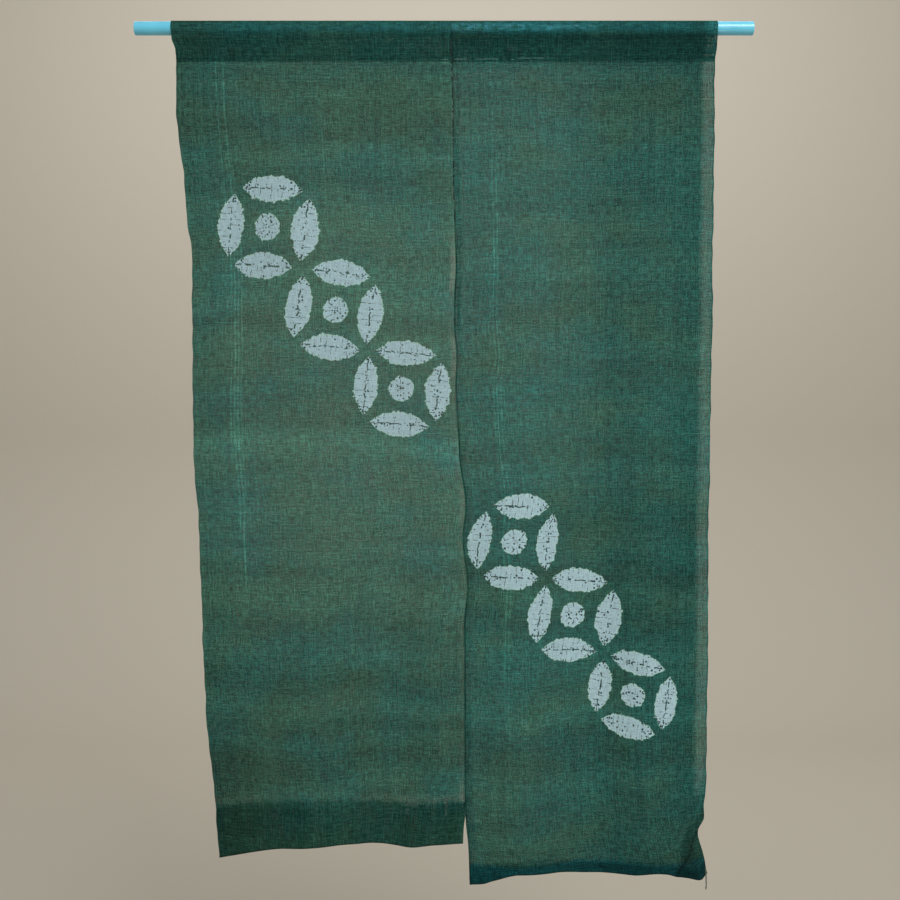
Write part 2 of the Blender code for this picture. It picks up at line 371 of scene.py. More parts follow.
def selvedge_wave(drop, seed):
    """Sideways waves of a selvedge, in millimetres."""
    return sum(side * np.sin(2 * math.pi * drop / length + seed * length) for length, side in SELVEDGE_WAVES)


def puckers(across, from_line, seed):
    """Little upright ripples beside a level row of stitches."""
    wander = PUCKER_WANDER * np.sin(across / WANDER_LENGTH + seed)
    fade = np.exp(-(from_line / PUCKER_REACH) ** 2)
    return PUCKER_DEPTH * fade * np.sin(2 * math.pi * across / PUCKER_LENGTH + wander)


print("selvedges wave by up to", sum(side for _, side in SELVEDGE_WAVES), "mm")

# %% [markdown]
# One sheet from hem to pocket
#
# A panel is one length of cloth, so it is one grid. Its rows run from the hem's turned-up edge behind, down
# to the foot, up the whole front to the stitch line, over the rod, and down behind to the stitches again.
# Its columns run from selvedge to selvedge, and on the right panel they go on round the inner edge into the
# strip turned back there. A grid that bends is how the cloth was folded, and hem, pocket and strip are then
# real second layers, which is why they show darker.

# %% Rows and columns
HEM_ROWS = 20
FOOT_ROWS = 4
BODY_ROWS = 440
POCKET_ROWS = 16
ROD_ROWS = 22
COLUMNS = 142
STRIP_COLUMNS = (-TURNED_EDGE, -8.3, -5.5, -2.8, -1.0, -0.3)
FOOT_BLEND = 3


def sheet_columns(width, turned):
    """Millimetres across the cloth: along the panel, and below zero round into the turned strip."""
    across = np.linspace(0.0, width, COLUMNS + 1)
    return np.concatenate((STRIP_COLUMNS, across)) if turned else across


def front_drops(foot, shares):
    """Drops of the front's rows, from the foot's line up to just below the stitch line."""
    lowest = curve(foot, 1, shares)
    along = np.linspace(1.0, 0.0, BODY_ROWS + 1)[:-1, None]
    level = STITCH_LINE + along * (lowest.mean() - STITCH_LINE)
    return level + along ** FOOT_BLEND * (lowest - lowest.mean())


def hem_drops(foot, shares):
    """Drops of the hem's back layer, from just above the foot's fold up to the hem's top edge."""
    lowest, hem = curve(foot, 1, shares), curve(foot, 2, shares)
    near = HEM_ROUND * np.linspace(0.0, 1.0, FOOT_ROWS + 1)[1:-1, None] ** 2
    along = np.linspace(0.0, 1.0, HEM_ROWS + 1)[:, None]
    return np.vstack((lowest - near, lowest - HEM_ROUND - along * (hem - HEM_ROUND)))


def pocket_line():
    """Depth and height of the pocket's line, from the stitches up, over the rod and down behind."""
    radius = ROD_RADIUS + ROD_CLEARANCE + POCKET_SLACK + SOLID_LAYER / 2
    leave = math.acos(radius / (STITCH_LINE - POCKET_SLACK))
    turns = np.linspace(leave, 2 * math.pi - leave, ROD_ROWS + 1)
    around = np.stack((-radius * np.sin(turns), -POCKET_SLACK - radius * np.cos(turns)), axis=1)
    rise = np.linspace(0.0, 1.0, POCKET_ROWS + 1)[:-1, None]
    stitches = np.array((0.0, -STITCH_LINE))
    behind = np.array((LAYER_GAP, -STITCH_LINE))
    tail = np.array((LAYER_GAP, -STITCH_LINE - POCKET_TAIL))
    front = stitches + rise * (around[0] - stitches)
    back = behind + rise[:0:-1] * (around[-1] - behind)
    return np.concatenate((front, around, back, [behind, tail]))


print("pocket rows:", len(pocket_line()))

# %% Where each point of the cloth hangs
CREASE_FADE = 0.25              # share of the width over which a crease fades at its ends
# Drops over which the small unevenness grows to its full size
DENTS_GROW = STITCH_LINE, 4 * STITCH_LINE
PUCKERS_GROW, WAVES_GROW = (10.0, 40.0), (20.0, 90.0)
STRIP_ROUND = 1.5               # width over which the inner edge turns round into its strip


def hang(level, folds, creases, foot, shares, drops):
    """x and depth, in millimetres, of the cloth at each share of the width and each drop below the rod."""
    lowest = max(row[1] for row in foot)
    levels = np.arange(0.0, lowest + LEVEL_STEP, LEVEL_STEP)
    steps = np.linspace(0.0, 1.0, SECTION_STEPS + 1)
    sections = [level(drop, folds, lowest, (steps[1:] + steps[:-1]) / 2) for drop in levels]
    x, y = np.empty_like(drops), np.empty_like(drops)
    for column, share in enumerate(shares):
        x_down = [np.interp(share, steps, across) for across, _ in sections]
        y_down = [np.interp(share, steps, behind) for _, behind in sections]
        x[:, column] = np.interp(drops[:, column], levels, x_down)
        y[:, column] = np.interp(drops[:, column], levels, y_down)
    for at_left, at_right, half_height, forward, start, end in creases:
        offset = (drops - at_left - (at_right - at_left) * shares) / half_height
        fade = ramp(start, start + CREASE_FADE, shares) * (1 - ramp(end - CREASE_FADE, end, shares))
        y -= forward * fade * np.exp(-offset ** 2)
    return x, y


def laid_behind(points, facing, gap):
    """Points moved towards the back of the cloth, square to it."""
    along = np.gradient(points, axis=1) * facing[:, None]
    up = np.gradient(points, axis=0)
    back = np.cross(up, along)
    back /= np.linalg.norm(back, axis=2, keepdims=True)
    return points + back * gap


def panel_points(level, folds, creases, foot, width, turned, seed):
    """The panel's grid: points in millimetres, and each one's place on the flat cloth."""
    across = sheet_columns(width, turned)
    shares = np.abs(across) / width
    to_selvedge = (1 - shares if turned else shares) * width
    wave_fade = np.exp(-(to_selvedge / SELVEDGE_REACH) ** 2)

    def surface(drops):
        x, y = hang(level, folds, creases, foot, shares, drops)
        spread = np.repeat(np.abs(across)[None, :], len(drops), axis=0)
        y += ramp(*DENTS_GROW, drops) * dents(spread, drops, seed)
        y += ramp(*PUCKERS_GROW, drops) * puckers(spread, drops - STITCH_LINE, seed)
        x += ramp(*WAVES_GROW, drops) * wave_fade * selvedge_wave(drops, seed)
        return np.dstack((x, y, -drops))

    lowest = curve(foot, 1, shares)
    line = pocket_line()
    pocket = surface(np.repeat(np.maximum(-line[:, 1:], 0.0), len(shares), axis=1))
    pocket[:, :, 1] += line[:, :1]
    pocket[:, :, 2] = line[:, 1:]
    front = np.concatenate((surface(front_drops(foot, shares)), pocket))
    hem = surface(hem_drops(foot, shares))

    facing = np.where(across < 0, -1.0, 1.0)
    strip = LAYER_GAP * (1 - ramp(-STRIP_ROUND, 0.0, across))[:, None]
    opened = ramp(0.0, HEM_ROUND, lowest - hem_drops(foot, shares))[:, :, None]
    front = laid_behind(front, facing, strip)
    hem = laid_behind(hem, facing, opened * (HEM_GAP - strip))
    points = np.concatenate((hem[::-1], front))

    run = np.linalg.norm(np.diff(line, axis=0, prepend=line[:1]), axis=1).cumsum()
    heights = np.concatenate((
        (hem_drops(foot, shares) - 2 * lowest)[::-1],
        -front_drops(foot, shares),
        np.repeat((run - STITCH_LINE)[:, None], len(shares), axis=1),
    ))
    flat = np.dstack((np.repeat(across[None, :], len(points), axis=0), heights))
    return points, flat


LEFT_WIDTH = 450.0
RIGHT_WIDTH = 430.0
left_points, left_flat = panel_points(left_level, LEFT_FOLDS, LEFT_CREASES, LEFT_FOOT, LEFT_WIDTH, False, 1.7)
right_points, right_flat = panel_points(
    right_level, RIGHT_FOLDS, RIGHT_CREASES, RIGHT_FOOT, RIGHT_WIDTH, True, 6.2)
for name, points in (("left", left_points), ("right", right_points)):
    depths = points[:, :, 1]
    print(name, "grid", points.shape[:2], "depths", depths.min().round(1), depths.max().round(1))

# %% [markdown]
# From points to cloth
#
# create_grid makes the cloth flat and square, with its vertices in rows. Each vertex then moves to its
# place. The UV map keeps where the point lies on the flat cloth, in metres, so weave and motifs follow the
# cloth round every fold. The sheet stays a single layer: real hemp is under half a millimetre thick, and a
# second skin would make a see-through cloth twice as dense.

# %% Make the sheets
FLAT_MAP = "flat cloth"
FROM_RAW_EDGE = "from raw edge"


def add_object(name, data):
    """A new object in the scene, at the origin."""
    made = bpy.data.objects.new(name, data)
    bpy.context.collection.objects.link(made)
    return made


def grid_sheet(name, points, flat):
    """A grid of cloth, each vertex moved to its place, with the flat cloth as its UV map, and how far it
    is from the hem's raw edge as an attribute.
    """
    rows, columns = points.shape[:2]
    bm = bmesh.new()
    bmesh.ops.create_grid(bm, x_segments=columns - 1, y_segments=rows - 1, size=0.5)
    mesh = bpy.data.meshes.new(name)
    bm.to_mesh(mesh)
    bm.free()
    mesh.vertices.foreach_set("co", (points * MM).astype(np.float32).ravel())
    corners = np.empty(len(mesh.loops), np.int32)
    mesh.loops.foreach_get("vertex_index", corners)
    uv = mesh.uv_layers.new(name=FLAT_MAP)
    uv.data.foreach_set("uv", (flat.reshape(-1, 2)[corners] * MM).astype(np.float32).ravel())
    from_edge = (flat[:, :, 1] - flat[:1, :, 1]) * MM
    edge_attribute = mesh.attributes.new(FROM_RAW_EDGE, "FLOAT", "POINT")
    edge_attribute.data.foreach_set("value", from_edge.astype(np.float32).ravel())
    mesh.shade_smooth()
    mesh.update()
    return add_object(name, mesh)


left_cloth = grid_sheet("left_cloth", left_points, left_flat)
right_cloth = grid_sheet("right_cloth", right_points, right_flat)
for sheet, node, flat in ((left_cloth, "left_panel", left_flat), (right_cloth, "right_panel", right_flat)):
    size = (np.ptp(flat[:, :, 0]) * MM, np.ptp(flat[:, :, 1], axis=0).mean() * MM)
    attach(sheet, "root")
    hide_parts(node)
    cut = [round(side, 3) for side in size]
    print(sheet.name, "was cut", cut, "m, and has", len(sheet.data.polygons), "faces")

# %% [markdown]
# Helpers for materials
#
# Every finish here is made of a few kinds of node, wired over and over: sums, soft steps, noise stretched
# along a thread, and mixes. A small class lets the sums be written as sums, and a short function for each of
# the others keeps the recipes readable. Noise is asked for by the size of its features in millimetres,
# because that is how one looks at cloth.

# %% Node helpers


class Field:
    """A number that varies over a surface. Sums are written with it, and each makes a Math node."""

    def __init__(self, socket):
        self.socket = socket
        self.tree = socket.id_data

    def __add__(self, other):
        return maths("ADD", self, other)

    def __sub__(self, other):
        return maths("SUBTRACT", self, other)

    def __rsub__(self, other):
        return maths("SUBTRACT", other, self)

    def __mul__(self, other):
        return maths("MULTIPLY", self, other)

    def __truediv__(self, other):
        return maths("DIVIDE", self, other)

    def __lt__(self, other):
        return maths("LESS_THAN", self, other)

    def __gt__(self, other):
        return maths("GREATER_THAN", self, other)

    def __abs__(self):
        return maths("ABSOLUTE", self)

    __radd__, __rmul__ = __add__, __mul__


def tree_of(*values):
    """The node tree of the first field among these values."""
    return next(value.tree for value in values if isinstance(value, Field))


def wire(socket, value):
    """Feed a socket from a field or another socket, or set its own value."""
    source = value.socket if isinstance(value, Field) else value
    if isinstance(source, bpy.types.NodeSocket):
        socket.id_data.links.new(source, socket)
    elif socket.type == "RGBA":
        socket.default_value = (*source, 1.0)
    else:
        socket.default_value = source


def maths(operation, *values):
    """One Math node's result."""
    node = tree_of(*values).nodes.new("ShaderNodeMath")
    node.operation = operation
    for socket, value in zip(node.inputs, values):
        wire(socket, value)
    return Field(node.outputs[0])


def vector_maths(operation, first, second=(0.0, 0.0, 0.0), out="Vector"):
    """One Vector Math node's result."""
    node = first.tree.nodes.new("ShaderNodeVectorMath")
    node.operation = operation
    wire(node.inputs[0], first)
    wire(node.inputs[1], second)
    return Field(node.outputs[out])


def parted(vector):
    """The first two coordinates of a vector."""
    node = vector.tree.nodes.new("ShaderNodeSeparateXYZ")
    wire(node.inputs[0], vector)
    return Field(node.outputs["X"]), Field(node.outputs["Y"])


def step(value, low, high, at_low=0.0, at_high=1.0):
    """A soft step: at_low up to low, and at_high from high on."""
    node = value.tree.nodes.new("ShaderNodeMapRange")
    node.interpolation_type = "SMOOTHSTEP"
    names = ("Value", "From Min", "From Max", "To Min", "To Max")
    for name, number in zip(names, (value, low, high, at_low, at_high)):
        wire(node.inputs[name], number)
    return Field(node.outputs["Result"])


def mm_step(value, low, high, at_low=0.0, at_high=1.0):
    """A soft step whose low and high are in millimetres."""
    return step(value, low * MM, high * MM, at_low, at_high)


def grain(flat, width, height, seed=0.0, detail=1.0, roughness=0.5):
    """Noise on the flat cloth, about 0.5, with features of this width and height in millimetres."""
    stretched = flat.tree.nodes.new("ShaderNodeMapping")
    stretched.inputs["Location"].default_value = (seed, seed * 0.7, seed * 1.3)
    stretched.inputs["Scale"].default_value = (1 / (width * MM), 1 / (height * MM), 1.0)
    wire(stretched.inputs["Vector"], flat)
    cloud = flat.tree.nodes.new("ShaderNodeTexNoise")
    cloud.noise_dimensions = "2D"
    for name, number in (("Scale", 1.0), ("Detail", detail), ("Roughness", roughness)):
        cloud.inputs[name].default_value = number
    wire(cloud.inputs["Vector"], stretched.outputs["Vector"])
    return Field(cloud.outputs["Fac"])


def mix(amount, first, second, kind="RGBA", blend="MIX"):
    """Mix two colours, vectors or numbers."""
    node = tree_of(amount, first, second).nodes.new("ShaderNodeMix")
    node.data_type = kind
    if kind == "RGBA":
        node.blend_type = blend
    at = {"FLOAT": 2, "VECTOR": 4, "RGBA": 6}[kind]
    for number, value in ((0, amount), (at, first), (at + 1, second)):
        wire(node.inputs[number], value)
    return Field(node.outputs[at // 2 - 1])


def mix_shaders(tree, share, first, second):
    """Two shader nodes mixed, with this share of the second."""
    node = tree.nodes.new("ShaderNodeMixShader")
    for number, value in enumerate((share, first.outputs[0], second.outputs[0])):
        wire(node.inputs[number], value)
    return node


def new_material(name):
    """A material made of nodes, and its tree."""
    material = bpy.data.materials.new(name)
    material.use_nodes = True
    return material, material.node_tree


print("node helpers are ready")

# %% [markdown]
# The linked circles
#
# Each circle is four petals and a dot. A petal is the lens where two arcs meet, so it needs no drawing: a
# point lies in it when it is inside both arcs. Folding the circle on its diagonals turns the four petals
# into one, and one distance then gives the edge of them all. The cloth was pulled askew as it was sewn and
# dyed, so each circle has its own turn and lean.

# %% Places and sizes of the circles
LEFT_CIRCLES = (
    # x, drop, radius across, radius down, turn of the level petals, lean of the upright ones (mm, degrees)
    (-283.0, 324.0, 86.5, 85.0, 5.8, 12.0),
    (-173.5, 458.0, 83.5, 82.0, 4.0, 9.5),
    (-71.0, 581.5, 81.5, 79.0, 4.8, 6.6),
)
RIGHT_CIRCLES = (
    (112.5, 829.5, 80.0, 79.0, 1.5, 10.5),
    (209.5, 952.0, 86.0, 77.0, 5.0, 8.7),
    (306.5, 1079.5, 78.0, 71.5, 11.5, 8.5),
)
# The parts of a circle, as shares of its radius
PETAL_AWAY = 0.740
PETAL_HALF_LENGTH = 0.625
PETAL_HALF_WIDTH = 0.250
DOT_RADIUS = 0.262
ARC_RADIUS = (PETAL_HALF_LENGTH ** 2 + PETAL_HALF_WIDTH ** 2) / (2 * PETAL_HALF_WIDTH)


def on_flat_cloth(points, flat, x, drop):
    """The place on the flat cloth, in metres, of the front's point nearest to this x and drop."""
    front = slice(HEM_ROWS + FOOT_ROWS, HEM_ROWS + FOOT_ROWS + BODY_ROWS)
    away = (points[front, :, 0] - x) ** 2 + (points[front, :, 2] + drop) ** 2
    row, column = np.unravel_index(away.argmin(), away.shape)
    return flat[front][row, column] * MM


def circle_places(points, flat, circles):
    """Each circle's place on the flat cloth, with its sizes and angles."""
    return [(on_flat_cloth(points, flat, x, drop), *rest) for x, drop, *rest in circles]


left_motifs = circle_places(left_points, left_flat, LEFT_CIRCLES)
right_motifs = circle_places(right_points, right_flat, RIGHT_CIRCLES)
for (across, down), wide, tall, turn, lean in left_motifs + right_motifs:
    print("a circle of", wide, "by", tall, "mm at", round(across, 3), round(down, 3), "m on the flat cloth")

# %% The circles' own coordinates


def in_circles(flat, motifs):
    """Coordinates in the nearest circle, in radii: along its level petals and along its upright ones."""
    nearest, least = None, None
    for (across, down), wide, tall, turn, lean in motifs:
        turn, lean = math.radians(turn), math.radians(lean)
        skew = MM * math.cos(turn - lean)
        off = vector_maths("SUBTRACT", flat, (across, down, 0.0))
        first = (math.cos(lean) / (wide * skew), -math.sin(lean) / (wide * skew), 0.0)
        second = (math.sin(turn) / (tall * skew), math.cos(turn) / (tall * skew), 0.0)
        place = flat.tree.nodes.new("ShaderNodeCombineXYZ")
        wire(place.inputs["X"], vector_maths("DOT_PRODUCT", off, first, "Value"))
        wire(place.inputs["Y"], vector_maths("DOT_PRODUCT", off, second, "Value"))
        here = Field(place.outputs["Vector"])
        away = vector_maths("LENGTH", here, out="Value")
        if nearest is None:
            nearest, least = here, away
        else:
            nearest = mix(away < least, nearest, here, "VECTOR")
            least = maths("MINIMUM", away, least)
    return nearest, least


def petal_parts(place, away):
    """How far outside a petal and the dot a point is, how far along the petal, how far off its middle
    line, and its angle round the dot.
    """
    level, upright = parted(place)
    far_level, far_upright = abs(level), abs(upright)
    along = mix(far_upright > far_level, upright, level, "FLOAT")
    middle = maths("MAXIMUM", far_level, far_upright) - PETAL_AWAY
    to_arc = abs(middle) + (ARC_RADIUS - PETAL_HALF_WIDTH)
    petal = maths("SQRT", along * along + to_arc * to_arc) - ARC_RADIUS
    return petal, away - DOT_RADIUS, along, middle, maths("ARCTAN2", upright, level)


print("petals are", round(2 * PETAL_HALF_LENGTH * LEFT_CIRCLES[0][2]), "mm long")

# %% [markdown]
# What the resist leaves
#
# The petals stayed white because they were stitched and gathered before dyeing. Dye crept in at each
# needle hole and along each pleat: a broken line down the middle, short cross lines to the edge, specks
# that crowd to the tips, and an edge that bulges between stitches. Lines are thin bands in the petal's own
# coordinates, broken up by noise, and specks are the middles of Voronoi cells, so no two petals are alike.

# %% Marks of the stitches
CROSS_LINES = 9.0               # to a radius
BULGES = 7.0                    # to a radius
DOT_RAYS = 11.0
SPECK_PITCH = 4.8
SPECK_LEAST, SPECK_SPREAD = 0.18, 0.22    # radius of a speck, in pitches
# The chance of a speck in a petal's open parts, along its middle, in its tips and at their edges
OPEN_SPECKS, MIDDLE_SPECKS, TIP_SPECKS, EDGE_SPECKS = 0.03, 0.24, 0.34, 0.50
DOT_SPECKS = 0.50, 0.20         # the same in the middle of a dot and at its rim
# Sizes as shares of a circle's radius
BULGE_DEPTH, BULGE_UNEVEN = 0.022, 0.10
RAGGED_FINE, RAGGED_BROAD = 0.016, 0.04
SHRINK = 0.012                  # the white ends this far inside the arcs
LINE_WANDER = 0.07
# Where a soft step begins and ends, as shares of a circle's radius
WHITE_EDGE, RIM_EDGE = (-0.010, 0.008), (-0.030, -0.014)
CENTRE_LINE = 0.009, 0.017
CALM, TIPS = (0.38, 0.58), (0.30, 0.50)
BY_EDGE, OFF_MIDDLE, IN_DOT = (-0.11, -0.05), (0.03, 0.10), (-0.24, -0.05)


def from_middle(turns):
    """From 0 half way through each turn to 1 at its ends."""
    return abs(maths("FRACT", turns) - 0.5) * 2.0


def near_line(value, count, shift):
    """How near to one of evenly spaced lines, from 0 half way between two to 1 on a line."""
    return from_middle(value * count + shift)


def bulging(nearness):
    """Round bulges with sharp notches between them."""
    return maths("SQRT", 1.0 - nearness * nearness)


def specks(flat, crowding):
    """Round specks of dye, more of them where crowding is near 1."""
    cells = flat.tree.nodes.new("ShaderNodeTexVoronoi")
    cells.voronoi_dimensions = "2D"
    cells.inputs["Scale"].default_value = 1 / (SPECK_PITCH * MM)
    wire(cells.inputs["Vector"], flat)
    chance = flat.tree.nodes.new("ShaderNodeSeparateColor")
    wire(chance.inputs[0], cells.outputs["Color"])
    size = Field(chance.outputs[1]) * SPECK_SPREAD + SPECK_LEAST
    return (Field(chance.outputs[0]) < crowding) * (Field(cells.outputs["Distance"]) < size)


def resist(flat, motifs):
    """Where the cloth stayed white, how much dye crept in there, and the greener rim."""
    petal, dot, along, middle, angle = petal_parts(*in_circles(flat, motifs))
    fine = grain(flat, 3.0, 3.0, seed=3.0) - 0.5
    wander = grain(flat, 14.0, 14.0, seed=5.0) - 0.5
    other = grain(flat, 9.0, 9.0, seed=12.0) - 0.5

    bulge = bulging(near_line(along, BULGES, wander * 2.2 + (middle > 0.0) * 0.4))
    ray = near_line(angle, DOT_RAYS / (2 * math.pi), wander * 1.5)
    far_along = abs(along)
    calm = step(far_along, *CALM, 1.0, 0.15)
    depth = calm * (other * BULGE_UNEVEN + BULGE_DEPTH)
    inset = fine * RAGGED_FINE + wander * (calm * RAGGED_BROAD) + SHRINK
    petal_edge = petal + inset - bulge * depth
    dot_edge = dot + inset - bulging(ray) * (depth * 0.7)
    edge = maths("MINIMUM", petal_edge, dot_edge)
    white = step(edge, *WHITE_EDGE, 1.0, 0.0)
    rim = step(edge, *RIM_EDGE)

    off_middle = abs(middle + wander * LINE_WANDER)
    centre_line = step(off_middle, *CENTRE_LINE, 1.0, 0.0) * step(other, -0.02, 0.01)
    pleat = near_line(along, CROSS_LINES, wander * 0.5)
    some = step(grain(flat, 13.0, 13.0, seed=31.0), 0.49, 0.52)
    broken = step(fine, -0.05, 0.0)
    cross_line = step(pleat, 0.84, 0.92) * (broken * some)
    tips = step(far_along, *TIPS)
    by_edge = step(petal_edge, *BY_EDGE) * tips
    inner = step(off_middle, *OFF_MIDDLE, MIDDLE_SPECKS, OPEN_SPECKS)
    crowding = by_edge * EDGE_SPECKS + maths("MAXIMUM", tips * TIP_SPECKS, inner)
    in_petal = maths("MAXIMUM", maths("MAXIMUM", centre_line, cross_line), specks(flat, crowding))

    spoke = step(ray, 0.82, 0.92) * step(other, 0.0, 0.03)
    in_dot = maths("MAXIMUM", spoke, specks(flat, step(dot, *IN_DOT, *DOT_SPECKS)))
    return white, mix(dot_edge < petal_edge, in_petal, in_dot, "FLOAT"), rim


print("cross lines every", round(LEFT_CIRCLES[0][2] / CROSS_LINES, 1), "mm")

# %% [markdown]
# Sheer hemp
#
# The cloth is a plain weave of hand-joined hemp. Between its threads there are small square holes, and much
# of what one sees is light that comes through from behind. So the threads are part Principled and part
# Translucent, and a Mix Shader lets the holes be Transparent. The holes are real ones, at the pitch of the
# weave, and wider where the cloth is sheerer. The threads aren't alike: some run lighter or darker for a
# hand's length, and slubs show where a thread was joined. Painted light and shade make the cloth lightest in
# the middle of the curtain, darker in the pocket, at the foot and towards the outer edges, and add a
# painted highlight where the cloth lies over the rod.

# %% Colours and densities of the cloth
DYED_TEAL = (0.028, 0.186, 0.167)
DYED_OLIVE = (0.053, 0.182, 0.133)
DYED_DEEP = (0.019, 0.178, 0.190)
DYE_IN_MARKS = (0.016, 0.090, 0.085)
UNDYED = (0.55, 0.80, 0.92)
RIM = (0.54, 0.86, 0.84)
THREAD_PITCH = 0.9
THREAD_DRIFT, THREAD_UNEVEN = 3.0, 0.8    # how far threads stray from their even places, in pitches
LIGHT_THROUGH = 0.62            # share of the threads' light that passes through them
# Painted light and shade down each panel: a painted highlight over the rod, painted shade in the pocket and
# foot
LEFT_OPENNESS_AND_PAINTED_LIGHT = (
    # drop, open share of the cloth, lightness given by painted light and shade
    (-20, 0.060, 0.80),
    (-6, 0.100, 0.95),
    (1, 0.170, 1.05),
    (8, 0.110, 0.95),
    (13, 0.018, 0.77),
    (60, 0.019, 0.75),
    (120, 0.023, 0.73),
    (210, 0.030, 0.82),
    (370, 0.052, 0.96),
    (560, 0.065, 1.01),
    (690, 0.070, 1.03),
    (800, 0.060, 0.99),
    (930, 0.042, 0.90),
    (1060, 0.028, 0.81),
    (1200, 0.023, 0.75),
    (1236, 0.023, 0.75),
    (1252, 0.058, 0.88),
    (1350, 0.054, 0.84),
)
RIGHT_OPENNESS_AND_PAINTED_LIGHT = (
    (-20, 0.100, 0.80),
    (-7, 0.170, 0.95),
    (0, 0.290, 1.15),
    (4, 0.290, 1.15),
    (8, 0.130, 0.90),
    (13, 0.010, 0.52),
    (30, 0.014, 0.60),
    (55, 0.016, 0.68),
    (75, 0.030, 0.76),
    (210, 0.035, 0.82),
    (370, 0.043, 0.88),
    (560, 0.047, 0.90),
    (690, 0.045, 0.90),
    (800, 0.029, 0.82),
    (930, 0.023, 0.81),
    (1060, 0.026, 0.91),
    (1200, 0.023, 0.83),
    (1390, 0.017, 0.70),
)
# Level bands: weft beaten harder or softer, and painted light and shade of creases from the cloth kept folded
LEFT_WEFT_AND_CREASE_BANDS = (
    # drop, lightness
    (60, 1.00), (96, 1.13), (177, 0.90), (206, 1.14), (253, 0.88), (290, 1.09), (330, 1.06), (370, 0.90),
    (399, 1.09), (457, 1.12), (472, 0.83), (515, 1.10), (541, 0.92), (642, 0.84), (676, 1.22), (721, 0.93),
    (790, 1.04), (832, 0.91), (850, 1.09), (870, 0.91), (923, 1.17), (964, 0.88), (1022, 1.09), (1061, 0.82),
    (1099, 1.18), (1132, 0.90), (1150, 1.10), (1179, 0.87), (1230, 1.22), (1262, 0.90), (1350, 1.00),
)
RIGHT_WEFT_AND_CREASE_BANDS = (
    (60, 1.00), (112, 0.95), (150, 1.06), (250, 1.04), (285, 0.93), (318, 1.06), (345, 0.95), (388, 1.09),
    (420, 0.94), (468, 0.93), (518, 1.08), (541, 0.93), (645, 1.07), (698, 0.88), (719, 1.08), (776, 1.03),
    (811, 0.92), (845, 1.11), (885, 0.80), (921, 1.17), (957, 0.87), (1009, 1.11), (1070, 0.88), (1116, 1.17),
    (1145, 0.87), (1186, 0.86), (1221, 1.12), (1276, 0.94), (1320, 1.06), (1345, 0.95), (1390, 1.00),
)
BAND_WANDER = 50.0              # how far noise moves a band up or down
STREAK_WANDER = 8.0             # and a thick warp thread sideways
# Thick pale warp threads that run down a panel
LEFT_STREAKS = (
    # across, half width, from drop, to drop, added lightness
    (66, 2, 40, 700, 0.60),
    (72, 2.2, 300, 860, 0.75),
    (78, 2.2, 60, 940, 0.70),
    (84, 2, 240, 800, 0.55),
    (236, 1.8, 120, 420, 0.35),
)
RIGHT_STREAKS = (
    (64, 1.9, 60, 700, 0.55),
    (70, 1.9, 200, 1150, 0.60),
    (76.5, 2, 500, 1290, 0.42),
    (300, 1.8, 700, 1200, 0.30),
)
# How open the left panel's inner selvedge is, where the slit gapes
INNER_SPARSE = (
    # drop, open share
    (325, 0.00), (350, 0.05), (365, 0.10), (412, 0.11), (426, 0.03), (490, 0.02), (505, 0.09), (550, 0.09),
    (575, 0.02), (740, 0.02), (758, 0.06), (792, 0.06), (812, 0.02), (1215, 0.02), (1236, 0.07), (1268, 0.07),
    (1350, 0.05),
)
# Where the right panel's folded inner edge catches the light as a pale line, and how wide that is
EDGE_LINE_HALF = 0.6, 1.8
EDGE_LINE = (
    # drop, added lightness
    (320, 0.4), (350, 0.8), (425, 0.8), (440, 1.3), (495, 1.2), (512, 0.7), (725, 0.7), (742, 1.3),
    (925, 1.0), (950, 0.4), (1215, 0.4), (1232, 1.2), (1270, 1.1), (1290, 0.4), (1390, 0.4),
)
# Painted light and shade from the panel's left edge to its right one, as a share; the open share follows it
# too
LEFT_PAINTED_LIGHT_ACROSS = ((0, 0.55), (110, 0.90), (260, 1.00), (450, 0.98))
RIGHT_PAINTED_LIGHT_ACROSS = ((0, 1.10), (160, 1.05), (215, 0.85), (270, 0.54), (340, 0.48), (400, 0.30), (430, 0.30))
LEFT_OLIVE, RIGHT_OLIVE = 0.55, 0.42
LEFT_CLEAN, RIGHT_CLEAN = 0.98, 1.09      # how clean the undyed circles stayed
INNER_SELVEDGE = 11.0           # a sparse strip along the left panel's inner edge
INNER_EDGE, INNER_PALE = (7.5, 6.5), 1.12 # and where and how much it is paler
OUTER_SELVEDGE = 25.0, 13.5     # one inside the right panel's outer edge: where it begins and is full
OUTER_OPEN, OUTER_PALE = 0.08, 0.30
CLOSE_WOVEN = 2.6, 1.8          # the outermost threads, which leave no holes
STRIP_FROM, STRIP_OPEN = (-1.0, -0.5), 0.55         # the strip turned back behind the right panel
# How much each part of the weave darkens or lightens the cloth
BROAD_LIGHT, FINE_LIGHT = (0.83, 1.17), (0.68, 1.32)
FIBRE_LIGHT, CLOUDY_LIGHT = (0.74, 1.26), (0.95, 1.05)
UNDYED_LIGHT = 0.89, 1.09
THICK, THICK_LIGHT = (0.62, 0.74), 0.25   # noise from which a thread is thick, and how much lighter it is
SIDE_LIGHT = 0.25               # share of the lightness that changes across a panel
FOLD_SHADE, CREASE_SHADE, FOLD_CLOSED = 0.40, 0.45, 0.75
# The folded corner's share of the width, and the edges of its crease, its upper fold and the cloth above
FOLD_ACROSS, CREASE_EDGE, FOLD_EDGE, ABOVE_EDGE = (0.14, 0.19), (1.5, 5.0), (-6, 10), (-80, -20)
# The left panel's lower outer corner is darker, and in the hem a little less so
CORNER_ACROSS, CORNER_DROP, CORNER_HEM = (35, 120), (1130, 1230), (1248, 1262)
CORNER_SHADE, CORNER_IN_HEM = 0.36, 0.4
DEEP_FROM = 1350, 1359          # drops at which the right hem's deeper dye begins
OVER_ROD = 10, 14               # drops at which the cloth leaves the rod
RAW_EDGE, RAW_WANDER, RAW_OPEN = (3, 15), 8, 0.75   # how far and how unevenly the raw edge is frayed
HOLE_SOFT = 0.06
UNDYED_CLOSED = 0.7             # undyed threads close this share of the holes


